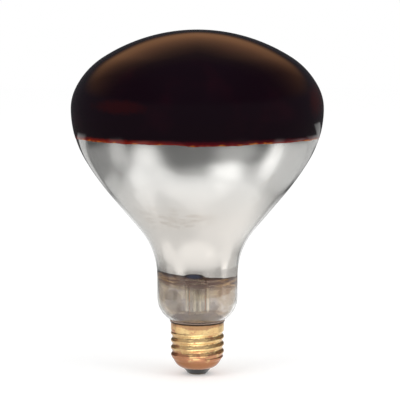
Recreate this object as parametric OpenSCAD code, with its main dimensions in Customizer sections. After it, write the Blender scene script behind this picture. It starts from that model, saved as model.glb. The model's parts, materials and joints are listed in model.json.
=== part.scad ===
// Infrared heat lamp: a blown reflector bulb with a ruby face on a medium screw base.
// Millimetres, +Z up along the lamp's axis, origin at the tip of the centre contact.

/* [Bulb] */
// Widest diameter of the blown glass
bulb_d = 122.7; // [116:0.1:132]
// Radius of the crown arc, which is centred on the axis
crown_r = 85; // [76:0.5:96]
// Radius of the arc between the crown and the rim
shoulder_r = 37.5; // [33:0.5:42]
// Radius of the rim arc, just above the widest ring
rim_r = 22.3; // [19:0.1:26]
// Turn of the rim arc, in degrees up from the widest ring
rim_turn = 26.5; // [22:0.5:31]
// Radius of the bowl just below the widest ring
bowl_r = 48.7; // [44:0.1:54]
// Turn of that part of the bowl, in degrees down from the widest ring
bowl_turn = 30.5; // [26:0.5:34]
// Radius of the flatter bowl below it
bowl_low_r = 128; // [110:1:146]
// Slope of the cone under the bowl, in degrees from the axis
cone_slope = 39.9; // [37:0.1:43]
// Radius of the flare between the cone and the neck
flare_r = 36.4; // [30:0.1:42]
// Outside diameter of the neck
neck_d = 39.7; // [36:0.1:43]
// Height of the straight neck
neck_len = 10.3; // [7:0.1:16]
// Radius of the turned-in shoulder under the neck
neck_shoulder_r = 13.2; // [11:0.1:16]
// Length of the straight glass tail inside the base
tail_len = 4.6; // [3:0.1:6]
// Wall of the blown glass
glass_wall = 0.9; // [0.7:0.05:1.3]

/* [Coatings] */
// Thickness of the ruby coating on the outside of the face
coat_t = 0.15; // [0.1:0.01:0.3]
// Drop of the ruby coating's edge below the widest ring
coat_drop = 14; // [11:0.1:18]
// Thickness of the aluminium film on the inside of the bowl
film_t = 0.15; // [0.1:0.01:0.3]
// Drop of the film's upper edge below the widest ring
film_drop = 10; // [6:0.1:10.5]
// Rise of the film's lower edge above the straight neck
film_rise = 1.8; // [0.8:0.1:5]

/* [Stem] */
// Outside diameter of the flare tube
tube_d = 12; // [11:0.1:13.5]
// Wall of the flare tube
tube_wall = 1.1; // [0.8:0.1:1.3]
// Radius of the tube's trumpet mouth
trumpet_r = 15; // [12:0.1:18]
// Thickness of the flange that is fused under the glass tail
flange_t = 1.2; // [0.8:0.1:1.6]
// Length of the straight flare tube
tube_len = 19; // [15:0.5:24]
// Height over which the tube is squeezed flat
squeeze_h = 4; // [3:0.1:6]
// Width of the flat press
press_w = 13; // [12:0.1:15]
// Thickness of the flat press
press_t = 4.4; // [4:0.1:5.5]
// Height of the flat press
press_h = 8; // [6:0.1:12]
// Outside diameter of the exhaust tube
exhaust_d = 4; // [3.4:0.1:4.4]
// Wall of the exhaust tube
exhaust_wall = 0.8; // [0.6:0.05:1]
// Drop of the sealed-off tip below the flange
exhaust_drop = 2.5; // [1.5:0.1:3.5]
// Length over which that tip is drawn in
exhaust_tip = 3.2; // [2.6:0.1:4]
// Diameter of the glass cane that carries the filament supports
cane_d = 3.6; // [3:0.1:4]
// Height of the button's middle above the press
cane_rise = 30; // [26:0.5:36]
// Diameter of the button that holds the support wires
button_d = 7; // [6:0.1:8.5]
// Height of the button
button_h = 4; // [3:0.1:5]

/* [Wires] */
// Distance between the two lead wires in the press
lead_gap = 8; // [7.6:0.1:8.4]
// Diameter of the wire sealed in the press
seal_wire_d = 0.8; // [0.6:0.05:1]
// Diameter of the inner leads
inner_lead_d = 1; // [0.8:0.05:1.2]
// Drop of the inner leads' bend below the filament's ring
inner_bend_drop = 12; // [9:0.5:15]
// Reach of that bend along the lead
inner_bend = 2; // [1.5:0.1:3]
// Diameter of the lead to the centre contact
contact_lead_d = 0.6; // [0.5:0.05:0.8]
// Height of that lead's turn to the middle above the insulator
contact_bend_rise = 3; // [2.5:0.1:4]
// Reach of that lead's bends
contact_bend = 1; // [0.8:0.1:1.4]
// Diameter of the lead to the side of the shell
side_lead_d = 0.35; // [0.25:0.01:0.38]
// Drop of that lead's way outwards below the flange
side_lead_drop = 1; // [0.8:0.1:1.6]
// Drop of its turn to the rim below the top of the straight tail
side_turn_drop = 1; // [0.6:0.1:1.6]
// Diameter of the support wires
hook_d = 0.4; // [0.3:0.05:0.5]
// Length of support wire held in the button
hook_hold = 1.2; // [0.8:0.1:1.6]

/* [Filament] */
// Radius of the ring in which the coil lies
ring_r = 10; // [9:0.1:12]
// Turn of that ring, in degrees
ring_turn = 280; // [260:2:290]
// Outside diameter of the coil
coil_d = 2.2; // [1.9:0.05:2.4]
// Diameter of the coiled wire
coil_wire_d = 0.35; // [0.3:0.01:0.45]
// Number of turns in the coil
coil_turns = 36; // [24:1:38]
// Length of the straight tail at each end of the coil
tail_wire = 2.4; // [2:0.1:3]
// Length of the clamp on each inner lead
clamp_len = 3; // [2:0.1:4]
// Outside diameter of that clamp
clamp_d = 1.7; // [1.4:0.1:2]

/* [Heat deflector] */
// Play between the deflector disc and the neck it is put in through
disc_play = 1.4; // [1:0.1:3]
// Thickness of the disc
disc_t = 0.5; // [0.3:0.05:0.8]
// Height of the disc above the press
disc_rise = 6; // [4:0.1:12]
// Diameter of its holes for the leads
lead_hole_d = 2.6; // [2:0.1:2.8]
// Wall of the eyelet that clinches it on the cane
eyelet_wall = 0.3; // [0.2:0.02:0.4]
// Width of the eyelet's rims
eyelet_rim = 0.7; // [0.4:0.05:0.8]

/* [Screw base] */
// Diameter over the thread's crests
thread_d = 26.3; // [26:0.05:26.6]
// Depth of the rolled thread
thread_depth = 0.85; // [0.7:0.05:1]
// Pitch of the thread, seven turns to the inch
thread_pitch = 3.629; // [3.6:0.001:3.66]
// Height of the threaded part
thread_h = 13.5; // [11:0.1:16]
// Height at which a crest crosses the +X side, above the shell's foot
thread_start = 8.3; // [7.5:0.05:9]
// Diameter of the plain collar above the thread
collar_d = 26.2; // [26:0.05:26.6]
// Height of the collar
collar_h = 4.2; // [3:0.1:6]
// Thickness of the brass sheet
shell_wall = 0.25; // [0.2:0.01:0.3]
// Diameter of the opening in the shell's foot
lip_d = 14.5; // [13.5:0.1:15.5]
// Radius of the rounded foot
foot_r = 6.15; // [5.6:0.05:6.6]
// Diameter at the step over the rounded foot
step_d = 23.2; // [22.6:0.1:24]
// Height of that step above the shell's foot
step_h = 4.05; // [3.8:0.05:4.4]
// Height of the foot and step together
cup_h = 5.6; // [5:0.1:6.5]
// Slope of the sheet at the lip, in degrees from the axis
lip_slope = 75; // [70:1:80]
// Height of the cement bead on the shell's rim
bead_h = 0.5; // [0.4:0.05:0.8]
// Distance that the bead stands out past the collar
bead_out = 0.45; // [0.3:0.05:0.7]

/* [Contact] */
// Diameter of the insulator's lower face
insulator_d = 10.7; // [10:0.1:11.4]
// Height of the insulator that shows under the shell
insulator_show = 2.45; // [2:0.05:3]
// Height of the insulator inside the shell
insulator_hold = 3.2; // [2.6:0.1:3.6]
// Rounding of the insulator's lower edge
insulator_round = 0.5; // [0.3:0.05:0.8]
// Diameter of the contact disc
contact_d = 8.8; // [8:0.1:9.4]
// Thickness of the contact disc
contact_t = 0.4; // [0.3:0.05:0.6]
// Outside diameter of the contact's hollow stem
contact_stem_d = 2.6; // [2.2:0.1:3]
// Length of that stem above the disc
contact_stem_h = 2.5; // [2:0.1:3.5]
// Wall of that stem
contact_stem_wall = 0.35; // [0.25:0.05:0.4]
// Diameter of the solder on the contact
solder_d = 5.4; // [4.6:0.1:6]
// Diameter of the flat at the tip of the solder
solder_flat_d = 3.6; // [3:0.1:4.2]
// Height of the solder
solder_h = 0.35; // [0.25:0.05:0.6]
// Radius of the solder drop on the collar
side_solder_r = 2.2; // [2:0.05:2.4]
// Height of the solder drop's middle below the rim
side_solder_drop = 2; // [1.9:0.1:2.4]
// Distance that the solder drop stands out past the collar
side_solder_out = 0.95; // [0.8:0.05:1.1]

/* [Clearances] */
// Gap between the glass and the inside of the shell's rim, for the side lead
rim_gap = 1; // [0.95:0.05:1.2]
// Gap between the glass tail and the thread's roots, filled with cement
tail_gap = 1; // [0.8:0.05:1.2]
// Gap between the cement or the insulator and the sheet
sheet_gap = 0.08; // [0.05:0.01:0.12]
// Gap between the flare's mouth and the inside of the glass tail
mouth_gap = 0.15; // [0.1:0.01:0.3]
// Gap between the cane and its eyelet, and between the eyelet and the disc
eyelet_gap = 0.05; // [0.02:0.01:0.1]
// Gap between a support loop and the coil
loop_gap = 0.1; // [0.05:0.01:0.2]
// Gap round the filament's tail in its clamp
clamp_gap = 0.03; // [0.02:0.01:0.05]

/* [Hidden] */

$fn = 48;
// Longest step of an arc, in degrees
arc_step = 5;
// Sides and rings of the thread: around, and along one pitch
thread_sides = 40;
thread_rings = 7;
// Height over which the thread runs out at each end
thread_fade = 1.2;
// Slope of the sheet where the rounded foot meets the step
foot_slope = 33;
// Rings of the coil in one turn, and sides of its wire
coil_rings = 8;
coil_sides = 6;
// Steps of a wire's bend, and sides of the wire
bend_steps = 4;
wire_sides = 10;
// Support wires round the button
hooks = 5;
// Small lap by which joined shapes run into each other
lap = 0.05;

// Heights of the base, stacked up from the tip
disc_z = solder_h;
insulator_z = disc_z + contact_t;
foot_z = insulator_z + insulator_show;
thread_z = foot_z + cup_h;
collar_z = thread_z + thread_h;
rim_z = collar_z + collar_h;

// Radii of the shell
crest_r = thread_d / 2;
root_r = crest_r - thread_depth;
collar_r = collar_d / 2;
root_in_r = root_r - shell_wall;
collar_in_r = collar_r - shell_wall;

// The glass where it passes the shell's rim and stands in the cement
neck_r = neck_d / 2;
pass_r = collar_in_r - rim_gap;
tail_r = root_in_r - tail_gap;
neck_shoulder_turn = acos(1 - (neck_r - pass_r) / neck_shoulder_r);
throat_r = (pass_r - tail_r) / (1 - cos(neck_shoulder_turn));
tail_top = rim_z - throat_r * sin(neck_shoulder_turn);
tail_z = tail_top - tail_len;
neck_low = rim_z + neck_shoulder_r * sin(neck_shoulder_turn);
neck_top = neck_low + neck_len;
bead_turn = asin((neck_low - rim_z - bead_h) / neck_shoulder_r);

// The bulb, from the neck up to the crown
bulb_r = bulb_d / 2;
bowl_x = bulb_r - bowl_r;
bowl_low_x = bowl_x + (bowl_r - bowl_low_r) * cos(bowl_turn);
cone_top_r = bowl_low_x + bowl_low_r * cos(cone_slope);
cone_low_r = neck_r + flare_r * (1 - cos(cone_slope));
cone_low = neck_top + flare_r * sin(cone_slope);
cone_top = cone_low + (cone_top_r - cone_low_r) / tan(cone_slope);
bowl_low_z = cone_top + bowl_low_r * sin(cone_slope);
wide_z = bowl_low_z - (bowl_low_r - bowl_r) * sin(bowl_turn);
shoulder_x = bulb_r - rim_r + (rim_r - shoulder_r) * cos(rim_turn);
shoulder_z = wide_z + (rim_r - shoulder_r) * sin(rim_turn);
crown_turn = acos(shoulder_x / (crown_r - shoulder_r));
crown_z = shoulder_z - (crown_r - shoulder_r) * sin(crown_turn);
coat_turn = asin(coat_drop / bowl_r);
film_turn = asin(film_drop / bowl_r);
film_low_turn = asin(film_rise / flare_r);

// The outline's arcs: centre, radius, 1 where it bulges out or -1, and two directions
flare_c = [neck_r + flare_r, neck_top];
crown_arcs = [
    [[0, crown_z], crown_r, 1, 90, crown_turn],
    [[shoulder_x, shoulder_z], shoulder_r, 1, crown_turn, rim_turn],
    [[bulb_r - rim_r, wide_z], rim_r, 1, rim_turn, 0],
    [[bowl_x, wide_z], bowl_r, 1, 0, -film_turn]
];
overlap_arcs = [[[bowl_x, wide_z], bowl_r, 1, -film_turn, -coat_turn]];
bowl_arcs = [
    [[bowl_x, wide_z], bowl_r, 1, -coat_turn, -bowl_turn],
    [[bowl_low_x, bowl_low_z], bowl_low_r, 1, -bowl_turn, -cone_slope],
    [flare_c, flare_r, -1, 180 - cone_slope, 180 - film_low_turn]
];
neck_arcs = [
    [flare_c, flare_r, -1, 180 - film_low_turn, 180],
    [[neck_r - neck_shoulder_r, neck_low], neck_shoulder_r, 1, 0, -bead_turn]
];
tail_arcs = [
    [[neck_r - neck_shoulder_r, neck_low], neck_shoulder_r, 1, -bead_turn, -neck_shoulder_turn],
    [[tail_r + throat_r, tail_top], throat_r, -1, 180 - neck_shoulder_turn, 180]
];

// The stem, up from the flange that is fused under the glass tail
tube_r = tube_d / 2;
tube_in_r = tube_r - tube_wall;
mouth_r = tail_r - glass_wall - mouth_gap;
trumpet_turn = acos(1 - (mouth_r - tube_r) / trumpet_r);
tube_low = tail_z + trumpet_r * sin(trumpet_turn);
tube_top = tube_low + tube_len;
press_low = tube_top + squeeze_h;
press_top = press_low + press_h;
flange_z = tail_z - flange_t;
tip_z = flange_z - exhaust_drop;
button_z = press_top + cane_rise;
deflector_z = press_top + disc_rise;

// The filament's ring, open towards -Y, and the loops of its supports
ring_start = 270 - ring_turn / 2 + 180;
coil_r = (coil_d - coil_wire_d) / 2;
loop_r = coil_d / 2 + loop_gap + hook_d / 2;
clamp_bore = coil_wire_d + 2 * clamp_gap;

// Where the leads run below the press
bend_z = foot_z + insulator_hold + contact_bend_rise;
side_r = tail_r + tail_gap / 2;
rim_lead_r = collar_in_r - side_lead_d / 2 - lap;
rim_lead_z = rim_z + side_lead_d / 2 + lap / 2;
out_lead_r = collar_r + side_lead_d / 2 + sheet_gap;
side_low = flange_z - side_lead_drop;
side_bend = side_lead_d / 2;

function same(a, b) = norm(a - b) < 0.001;

// Points of one arc, moved out by off square to the wall
function arc_points(a, off) =
    let(n = max(1, ceil(abs(a[4] - a[3]) / arc_step)))
    [for (i = [0:n])
        let(t = a[3] + (a[4] - a[3]) * i / n)
        a[0] + (a[1] + a[2] * off) * [cos(t), sin(t)]];

// Arcs in a row, with straight lines between those that don't touch
function outline(arcs, off) = [
    for (k = [0:len(arcs) - 1])
        let(p = arc_points(arcs[k], off), q = k > 0 ? arc_points(arcs[k - 1], off) : [])
        for (i = [(k > 0 && same(q[len(q) - 1], p[0])) ? 1 : 0 : len(p) - 1]) p[i]
];

function reversed(list) = [for (i = [len(list) - 1:-1:0]) list[i]];

// A wall between two offsets of the same arcs, turned round the axis
module turned_wall(arcs, outer, inner) {
    rotate_extrude() polygon(concat(outline(arcs, outer), reversed(outline(arcs, inner))));
}

function unit(v) = v / norm(v);

// A path with each corner rounded by a curve that starts the bend's length before it
function bent(points, bend) = [
    for (i = [0:len(points) - 1])
        if (i == 0 || i == len(points) - 1) points[i]
        else let(a = points[i] + bend * unit(points[i - 1] - points[i]),
            b = points[i] + bend * unit(points[i + 1] - points[i]))
            for (k = [0:bend_steps]) let(t = k / bend_steps)
                (1 - t) * (1 - t) * a + 2 * t * (1 - t) * points[i] + t * t * b
];

// A direction square to the path, carried from point to point without twist
function square_to(v, t) = unit(v - (v * t) * t);
function way_at(path, i) = unit(path[min(len(path) - 1, i + 1)] - path[max(0, i - 1)]);
function carried(path, list) = len(list) == len(path) ? list
    : carried(path, concat(list, [square_to(list[len(list) - 1], way_at(path, len(list)))]));

// One closed tube swept along a path, with a guide direction at each point
module tube_along(path, guides, d, sides) {
    last = len(path) - 1;
    rings = [for (i = [0:last])
        let(t = way_at(path, i), u = square_to(guides[i], t), w = cross(t, u))
        for (k = [0:sides - 1]) path[i] + d / 2 * (cos(360 * k / sides) * u + sin(360 * k / sides) * w)];
    walls = [for (i = [0:last - 1], k = [0:sides - 1])
        let(a = i * sides + k, b = i * sides + (k + 1) % sides)
        for (f = [[a, a + sides, b], [b, a + sides, b + sides]]) f];
    caps = [for (k = [1:sides - 2])
        for (f = [[0, k, k + 1], [last * sides, last * sides + k + 1, last * sides + k]]) f];
    polyhedron(points = rings, faces = concat(walls, caps));
}

// A wire that starts upright and bends round the corners of its path
module wire(points, d, bend) {
    path = bent(points, bend);
    tube_along(path, carried(path, [square_to([1, 0.3, 0], way_at(path, 0))]), d, wire_sides);
}

// A straight round bar between two points
module bar(a, b, d) {
    run = b - a;
    translate(a) rotate([0, acos(run[2] / norm(run)), atan2(run[1], run[0])])
        cylinder(d = d, h = norm(run));
}

module bulb_glass() {
    arcs = concat(crown_arcs, overlap_arcs, bowl_arcs, neck_arcs, tail_arcs);
    outer = concat(outline(arcs, 0), [[tail_r, tail_z]]);
    inner = concat(outline(arcs, -glass_wall), [[tail_r - glass_wall, tail_z]]);
    color([0.85, 0.84, 0.8, 0.35]) rotate_extrude() polygon(concat(outer, reversed(inner)));
}

module ruby_coating() {
    color([0.16, 0.02, 0.03]) turned_wall(concat(crown_arcs, overlap_arcs), coat_t, 0);
}

module reflector_film() {
    color([0.82, 0.81, 0.79])
        turned_wall(concat(overlap_arcs, bowl_arcs), -glass_wall, -glass_wall - film_t);
}

// The trumpet's arc; its wall lies on the axis side
module stem_flare() {
    trumpet = [[[tube_r + trumpet_r, tube_low], trumpet_r, -1, 180, 180 + trumpet_turn]];
    outer = concat([[tube_r, tube_top]], outline(trumpet, 0), [[tail_r, tail_z], [tail_r, flange_z]]);
    inner = outline(trumpet, -tube_wall);
    mouth = [[inner[len(inner) - 1][0], flange_z]];
    color([0.86, 0.86, 0.82, 0.4])
        rotate_extrude() polygon(concat(outer, mouth, reversed(inner), [[tube_in_r, tube_top]]));
}

// Outline of the flat press
module press_outline() {
    side = (press_w - press_t) / 2;
    square([2 * side, press_t], center = true);
    for (x = [-side, side]) translate([x, 0]) circle(d = press_t);
}

module stem_press() {
    color([0.84, 0.84, 0.8, 0.45]) difference() {
        union() {
            hull() {
                translate([0, 0, tube_top]) cylinder(r = tube_r, h = lap, $fn = 32);
                translate([0, 0, press_low]) linear_extrude(lap) press_outline($fn = 32);
            }
            translate([0, 0, press_low]) linear_extrude(press_h) press_outline();
        }
        for (x = [-1, 1]) translate([x * lead_gap / 2, 0, tube_top - lap])
            cylinder(d = seal_wire_d, h = press_top - tube_top + 2 * lap);
    }
}

// Open at the press, drawn to a closed tip at its foot
module exhaust_tube() {
    r = exhaust_d / 2;
    in_r = r - exhaust_wall;
    color([0.86, 0.86, 0.82, 0.4]) rotate_extrude() polygon([
        [0, tip_z], [exhaust_wall, tip_z], [r, tip_z + exhaust_tip], [r, tube_top],
        [in_r, tube_top], [in_r, tip_z + exhaust_tip], [0, tip_z + exhaust_tip - in_r]
    ]);
}

module support_cane() {
    color([0.86, 0.86, 0.82, 0.4])
        translate([0, 0, press_top]) cylinder(d = cane_d, h = cane_rise - button_h / 2);
}

module cane_button() {
    color([0.86, 0.86, 0.82, 0.4]) difference() {
        rotate_extrude() polygon(concat(
            [[0, button_z - button_h / 2]],
            arc_points([[(button_d - button_h) / 2, button_z], button_h / 2, 1, -90, 90], 0),
            [[0, button_z + button_h / 2]]
        ));
        for (i = [1:hooks]) rotate(hook_angle(i)) translate([button_d / 2 - hook_hold, 0, button_z])
            rotate([0, 90, 0]) cylinder(d = hook_d, h = hook_hold + 1);
    }
}

module seal_wire(side) {
    color([0.66, 0.4, 0.28]) translate([side * lead_gap / 2, 0, tube_top])
        cylinder(d = seal_wire_d, h = press_top - tube_top);
}

// A point of the ring, and the direction along it
function ring_point(a) = [ring_r * cos(a), ring_r * sin(a), button_z];
function ring_way(a) = [-sin(a), cos(a), 0];

// Up from the press, out to the end of the ring, and a bored clamp on the coil's tail
module inner_lead(side) {
    end_a = side > 0 ? ring_start : ring_start + ring_turn;
    way = -side * ring_way(end_a);
    tail_end = ring_point(end_a) + way * tail_wire;
    clamp_low = tail_end - way * (clamp_len / 2 + lap);
    clamp_mid = clamp_low + way * (clamp_len - lap);
    foot = [side * lead_gap / 2, 0, press_top];
    color([0.72, 0.7, 0.66]) difference() {
        union() {
            wire([foot, [foot[0], 0, button_z - inner_bend_drop], clamp_mid],
                inner_lead_d, inner_bend);
            bar(clamp_low, clamp_low + way * clamp_len, clamp_d);
        }
        bar(clamp_low - way, tail_end + way * clamp_gap, clamp_bore);
    }
}

function hook_angle(i) = ring_start + ring_turn * i / (hooks + 1);

// A wire out from the button that ends in a loop round the coil
module support_hook(i) {
    color([0.5, 0.5, 0.52]) rotate(hook_angle(i)) {
        translate([button_d / 2 - hook_hold, 0, button_z]) rotate([0, 90, 0])
            cylinder(d = hook_d, h = ring_r - loop_r - button_d / 2 + hook_hold);
        translate([ring_r, 0, button_z]) rotate([90, 0, 0])
            rotate_extrude() translate([loop_r, 0]) circle(d = hook_d);
    }
}

// The coil's middle line: the radius grows from nothing in the first half turn
coil_count = coil_turns * coil_rings;
function coil_out(i) = let(a = 360 * i / coil_rings, t = ring_start + ring_turn * i / coil_count)
    [cos(a) * cos(t), cos(a) * sin(t), sin(a)];
function coil_point(i) = ring_point(ring_start + ring_turn * i / coil_count)
    + coil_r * min(1, 2 * i / coil_rings, 2 * (coil_count - i) / coil_rings) * coil_out(i);
coil_path = concat(
    [ring_point(ring_start) - tail_wire * ring_way(ring_start)],
    [for (i = [0:coil_count]) coil_point(i)],
    [ring_point(ring_start + ring_turn) + tail_wire * ring_way(ring_start + ring_turn)]
);
coil_outs = concat([coil_out(0)], [for (i = [0:coil_count]) coil_out(i)], [coil_out(coil_count)]);

// Least gap between a turn and the next, measured on the middle line's points
coil_gap = min([for (i = [coil_rings:coil_count - 2 * coil_rings])
    for (j = [i + coil_rings - 2:i + coil_rings + 2]) norm(coil_point(i) - coil_point(j))]) - coil_wire_d;
echo(str("least gap between the filament's turns: ", coil_gap));

module filament() {
    color([0.35, 0.35, 0.37]) tube_along(coil_path, coil_outs, coil_wire_d, coil_sides);
}

// Radii of the eyelet's bore, barrel and rims
eyelet_bore_r = cane_d / 2 + eyelet_gap;
eyelet_r = eyelet_bore_r + eyelet_wall;
eyelet_rim_r = eyelet_r + eyelet_rim;

module heat_deflector() {
    color([0.75, 0.75, 0.76]) translate([0, 0, deflector_z]) difference() {
        cylinder(r = neck_r - glass_wall - disc_play, h = disc_t, $fn = 96);
        translate([0, 0, -lap]) cylinder(r = eyelet_r + eyelet_gap, h = disc_t + 2 * lap);
        for (x = [-1, 1]) translate([x * lead_gap / 2, 0, -lap])
            cylinder(d = lead_hole_d, h = disc_t + 2 * lap);
    }
}

module deflector_eyelet() {
    color([0.7, 0.68, 0.62]) rotate_extrude() for (z = [-eyelet_wall, disc_t])
        translate([0, deflector_z]) {
            translate([eyelet_bore_r, -eyelet_wall]) square([eyelet_wall, disc_t + 2 * eyelet_wall]);
            translate([eyelet_bore_r, z]) square([eyelet_wall + eyelet_rim, eyelet_wall]);
        }
}

// Down the flare tube, past the sealed tip, and through the contact's hollow stem
module contact_lead() {
    x = lead_gap / 2;
    color([0.72, 0.45, 0.3])
        wire([[x, 0, tube_top], [x, 0, tip_z], [0, 0, bend_z], [0, 0, disc_z]],
            contact_lead_d, contact_bend);
}

// Round under the flange, up through the cement and over the shell's rim at the back
side_path = [
    [-lead_gap / 2, 0, tube_top], [-lead_gap / 2, 0, side_low], [0, side_r, side_low],
    [0, side_r, tail_top - side_turn_drop], [0, rim_lead_r, rim_z - side_lead_d],
    [0, rim_lead_r, rim_lead_z], [0, out_lead_r, rim_lead_z], [0, out_lead_r, rim_z - side_solder_drop]
];

module side_lead() {
    color([0.72, 0.45, 0.3]) wire(side_path, side_lead_d, side_bend);
}

// Between the glass and the shell, with a bead on the rim, and a slot for the side lead
module base_cement() {
    glass = outline(tail_arcs, 0);
    low_r = root_in_r - sheet_gap;
    high_r = collar_in_r - sheet_gap;
    color([0.2, 0.16, 0.13]) difference() {
        rotate_extrude() polygon(concat(glass, [
            [tail_r, tail_z], [low_r, tail_z], [low_r, collar_z], [high_r, collar_z + high_r - low_r],
            [high_r, rim_z], [collar_r + bead_out, rim_z], [collar_r + bead_out, rim_z + bead_h]
        ]));
        translate([-side_lead_d, side_r - side_lead_d, tail_z - lap])
            cube([2 * side_lead_d, collar_d, rim_z + bead_h - tail_z + 2 * lap]);
    }
}

// The shell's rings, up from the lip: radius, height and how much of the thread each shows
foot_c = [lip_d / 2 - foot_r * cos(lip_slope), foot_z + foot_r * sin(lip_slope)];
foot_arc = [foot_c, foot_r, 1, -lip_slope, -foot_slope];
mean_r = (crest_r + root_r) / 2;
thread_steps = round(thread_h / thread_pitch * thread_rings);
function ease(x) = let(t = max(0, min(1, x))) t * t * (3 - 2 * t);
function body_r(z) = let(top = ease((z - collar_z + thread_fade) / thread_fade))
    mean_r + (collar_r - mean_r) * top;
function shown(z) = ease((z - thread_z) / thread_fade)
    * (1 - ease((z - collar_z + thread_fade) / thread_fade));
function shell_rings(off) = concat(
    [for (p = arc_points(foot_arc, off)) [p[0], p[1], 0]],
    [[step_d / 2 + off, foot_z + step_h, 0]],
    [for (i = [0:thread_steps]) let(z = thread_z + thread_h * i / thread_steps)
        [body_r(z) + off, z, shown(z)]],
    [[collar_r + off, rim_z, 0]]
);

// Radius of the thread's wave at a height and an angle; it climbs to the left as it turns
function wave(z, a) = thread_depth / 2 * cos(360 * (z - foot_z - thread_start) / thread_pitch - a);

module screw_shell() {
    rings = concat(shell_rings(0), reversed(shell_rings(-shell_wall)));
    n = thread_sides;
    m = len(rings);
    points = [for (g = rings, k = [0:n - 1])
        let(a = 360 * k / n, r = g[0] + g[2] * wave(g[1], a)) [r * cos(a), r * sin(a), g[1]]];
    faces = [for (j = [0:m - 1], k = [0:n - 1])
        let(up = (j + 1) % m, next = (k + 1) % n,
            a = j * n + k, b = j * n + next, c = up * n + k, d = up * n + next)
        for (f = [[a, c, b], [b, c, d]]) f];
    color([0.85, 0.64, 0.36]) polyhedron(points = points, faces = faces);
}

// Black glass that fills the shell's foot and stands out below it
module base_insulator() {
    off = -shell_wall - sheet_gap;
    seat = arc_points(foot_arc, off);
    low_r = insulator_d / 2;
    neck = seat[0][0] - sheet_gap;
    bore = contact_stem_d / 2;
    top_z = foot_z + insulator_hold;
    held = [for (p = seat) if (p[1] < top_z) p];
    color([0.07, 0.07, 0.08]) rotate_extrude() polygon(concat(
        [[bore, insulator_z]],
        arc_points([[low_r - insulator_round, insulator_z + insulator_round],
            insulator_round, 1, -90, 0], 0),
        [[neck, foot_z], [neck, seat[0][1]]], held,
        [[held[len(held) - 1][0], top_z], [bore, top_z]]
    ));
}

// A disc with a hollow stem up through the insulator
module contact_eyelet() {
    r = contact_stem_d / 2;
    bore = r - contact_stem_wall;
    color([0.8, 0.66, 0.42]) rotate_extrude() polygon([
        [bore, disc_z], [contact_d / 2, disc_z], [contact_d / 2, insulator_z],
        [r, insulator_z], [r, insulator_z + contact_stem_h], [bore, insulator_z + contact_stem_h]
    ]);
}

module contact_solder() {
    color([0.7, 0.7, 0.71]) cylinder(d1 = solder_flat_d, d2 = solder_d, h = solder_h);
}

// A drop of solder on the collar, over the end of the side lead
module side_solder() {
    color([0.7, 0.7, 0.71]) difference() {
        translate([0, collar_r + side_solder_out - side_solder_r, rim_z - side_solder_drop])
            sphere(r = side_solder_r);
        translate([0, 0, collar_z]) cylinder(r = collar_r, h = 2 * collar_h, $fn = 180);
        translate([0, out_lead_r, rim_z - side_solder_drop]) cylinder(d = side_lead_d, h = collar_h);
    }
}

bulb_glass();
ruby_coating();
reflector_film();
stem_flare();
stem_press();
exhaust_tube();
support_cane();
cane_button();
seal_wire(-1);  // seal_wire_left
seal_wire(1);  // seal_wire_right
inner_lead(-1);  // inner_lead_left
inner_lead(1);  // inner_lead_right
support_hook(1);  // support_hook_1
support_hook(2);  // support_hook_2
support_hook(3);  // support_hook_3
support_hook(4);  // support_hook_4
support_hook(5);  // support_hook_5
filament();
heat_deflector();
deflector_eyelet();
contact_lead();
side_lead();
base_cement();
screw_shell();
base_insulator();
contact_eyelet();
contact_solder();
side_solder();
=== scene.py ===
import json
import math

import bpy
from bpy.props import FloatProperty, FloatVectorProperty, PointerProperty
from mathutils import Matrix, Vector, noise

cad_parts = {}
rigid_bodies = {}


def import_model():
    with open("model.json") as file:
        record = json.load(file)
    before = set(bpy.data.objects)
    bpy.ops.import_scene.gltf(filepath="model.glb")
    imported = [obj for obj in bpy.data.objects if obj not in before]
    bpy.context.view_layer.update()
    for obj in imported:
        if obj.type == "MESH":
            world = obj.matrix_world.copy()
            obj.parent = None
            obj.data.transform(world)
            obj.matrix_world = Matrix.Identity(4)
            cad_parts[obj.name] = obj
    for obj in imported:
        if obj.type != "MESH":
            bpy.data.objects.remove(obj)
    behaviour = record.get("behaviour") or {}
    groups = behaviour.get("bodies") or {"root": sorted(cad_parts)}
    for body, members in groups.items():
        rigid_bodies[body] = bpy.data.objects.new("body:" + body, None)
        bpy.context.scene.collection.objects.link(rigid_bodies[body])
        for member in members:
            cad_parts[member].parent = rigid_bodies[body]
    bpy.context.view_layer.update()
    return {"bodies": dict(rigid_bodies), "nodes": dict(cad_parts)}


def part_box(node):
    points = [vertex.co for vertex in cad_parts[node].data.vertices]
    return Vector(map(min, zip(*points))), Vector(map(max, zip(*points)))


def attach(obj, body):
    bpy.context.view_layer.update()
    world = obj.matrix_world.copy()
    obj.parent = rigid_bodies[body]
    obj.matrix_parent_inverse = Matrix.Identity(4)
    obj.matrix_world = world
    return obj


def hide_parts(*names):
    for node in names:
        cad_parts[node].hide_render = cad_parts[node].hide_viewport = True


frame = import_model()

bl_info = {
    "name": "Infrared heat lamp",
    "version": (1, 0, 0),
    "blender": (4, 5, 0),
    "location": "3D View > Sidebar > Heat Lamp",
    "description": "Builds the finished pieces of a reflector heat lamp and its studio",
    "category": "Object",
}

MM = 0.001
BODY = next(iter(frame["bodies"]))
NODES = frame["nodes"]


def mm(*values):
    """Millimetres as metres."""
    return tuple(value * MM for value in values)


# Sizes and colours

def length(name, millimetres, description):
    return FloatProperty(name=name, description=description, default=millimetres * MM, min=0.0, unit="LENGTH")


def turn(name, degrees, description):
    return FloatProperty(name=name, description=description, default=math.radians(degrees), subtype="ANGLE")


def colour(name, value, description):
    return FloatVectorProperty(
        name=name, description=description, default=value, size=3, min=0.0, max=1.0, subtype="COLOR")


def strength(name, value, description):
    return FloatProperty(name=name, description=description, default=value, min=0.0)


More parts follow.
